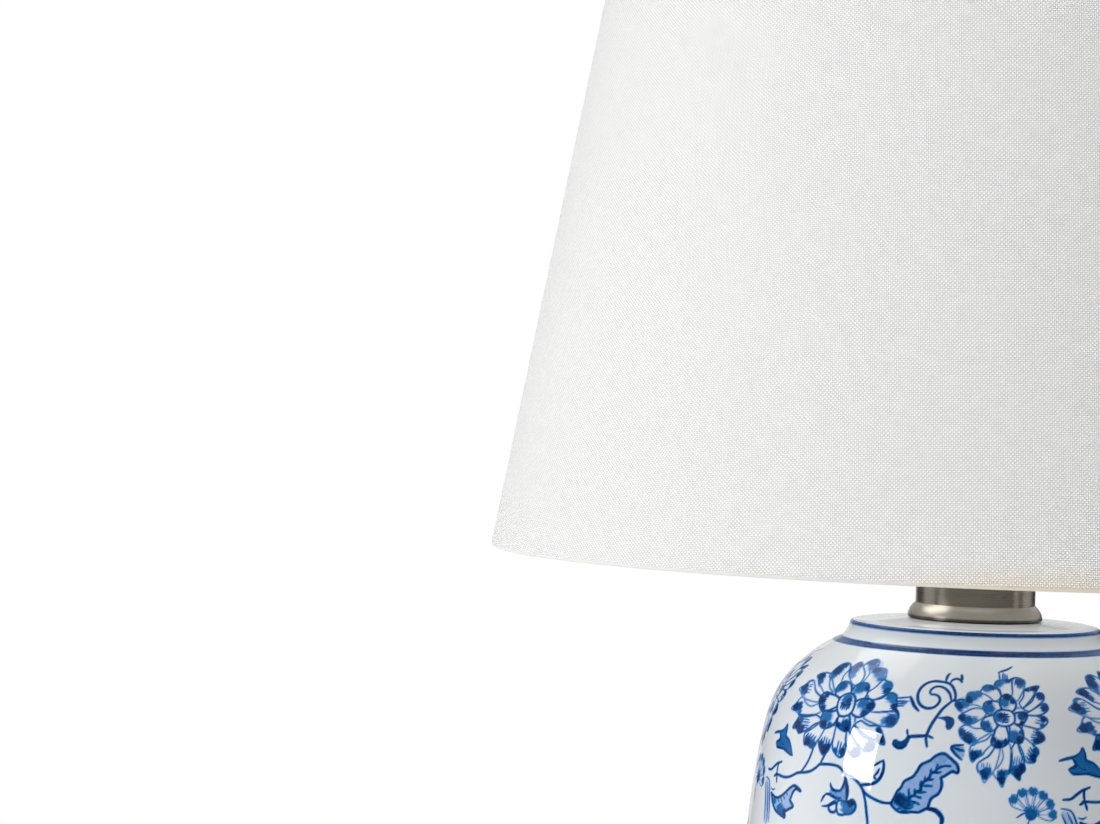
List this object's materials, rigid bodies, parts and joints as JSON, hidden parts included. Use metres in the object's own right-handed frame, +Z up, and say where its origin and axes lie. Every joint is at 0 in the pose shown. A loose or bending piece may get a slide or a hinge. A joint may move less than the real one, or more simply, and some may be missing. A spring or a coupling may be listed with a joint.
{
  "type": "table lamp",
  "caption": "Table lamp with a blue-and-white porcelain jar body, nickel neck and base, and a tapered woven shade held on a harp by a finial.",
  "frame": {"origin": "middle of the underside of the felt pad", "axes": "+Z up along the lamp's axis, -Y the front with the switch knob, +Y the back with the cord inlet"},
  "size_m": [0.3809, 0.381, 0.6058],
  "materials": {
    "felt": "short black felt",
    "brushed_nickel": "warm brushed nickel, satin",
    "cast_iron": "rough grey iron",
    "zinc_steel": "zinc plated",
    "black_plastic": "moulded, matt",
    "rubber": "soft, matt",
    "porcelain": "clear gloss glaze over cobalt painting",
    "card": "pressed card",
    "brass": "plain brass",
    "black_glass": "opaque black glass",
    "bulb_metal": "plain, bright",
    "frosted_glass": "frosted white inside",
    "shade_linen": "off-white woven linen look",
    "shade_liner": "white styrene sheet",
    "ring_wire": "white paint on steel wire"
  },
  "bodies": {
    "stand": {"felt_pad": "felt", "base_shell": "brushed_nickel", "base_ballast": "cast_iron", "base_washer": "zinc_steel", "base_nut": "zinc_steel", "cord_bushing": "black_plastic", "threaded_tube": "zinc_steel", "jar_foot_gasket": "rubber", "jar_body": "porcelain", "vase_cap_gasket": "rubber", "vase_cap": "brushed_nickel", "neck_column": "brushed_nickel", "neck_top_plate": "brushed_nickel", "harp_saddle": "brushed_nickel", "saddle_nut": "zinc_steel", "socket_cap": "brushed_nickel", "socket_set_screw": "zinc_steel", "socket_shell": "brushed_nickel", "socket_insulator": "card", "socket_body": "black_plastic", "socket_screw_shell": "brass", "socket_center_contact": "brass", "terminal_screws": "brass"},
    "harp": {"harp_wire": "brushed_nickel", "harp_stud": "brushed_nickel"},
    "sleeve_left": {"harp_sleeve_left": "brushed_nickel"},
    "sleeve_right": {"harp_sleeve_right": "brushed_nickel"},
    "shade": {"shade_fabric": "shade_linen", "shade_liner": "shade_liner", "shade_top_ring": "ring_wire", "shade_bottom_ring": "ring_wire", "shade_top_hem": "shade_linen", "shade_bottom_hem": "shade_linen", "shade_seam": "shade_liner", "spider_hub": "brushed_nickel", "spider_arms": "ring_wire"},
    "finial": {"finial": "brushed_nickel"},
    "bulb": {"bulb_contact": "brass", "bulb_insulator": "black_glass", "bulb_screw_base": "bulb_metal", "bulb_globe": "frosted_glass"},
    "switch": {"switch_shaft": "brass", "switch_knob": "black_plastic"}
  },
  "joints": [
    {"name": "harp_lift", "type": "slide", "parent": "stand", "child": "harp", "axis": [0, 0, 1], "range_m": [0, 0.02]},
    {"name": "sleeve_left_slide", "type": "slide", "parent": "harp", "child": "sleeve_left", "axis": [0, 0, 1], "range_m": [0, 0.013]},
    {"name": "sleeve_right_slide", "type": "slide", "parent": "harp", "child": "sleeve_right", "axis": [0, 0, 1], "range_m": [0, 0.013]},
    {"name": "shade_turn", "type": "hinge", "parent": "harp", "child": "shade", "pos_m": [0, 0, 0.5818], "axis": [0, 0, 1], "continuous": true},
    {"name": "finial_turn", "type": "hinge", "parent": "harp", "child": "finial", "pos_m": [0, 0, 0.5826], "axis": [0, 0, 1], "continuous": true},
    {"name": "bulb_turn", "type": "hinge", "parent": "stand", "child": "bulb", "pos_m": [0, 0, 0.4], "axis": [0, 0, 1], "continuous": true},
    {"name": "switch_turn", "type": "hinge", "parent": "stand", "child": "switch", "pos_m": [0, -0.02, 0.3808], "axis": [0, -1, 0], "continuous": true}
  ]
}
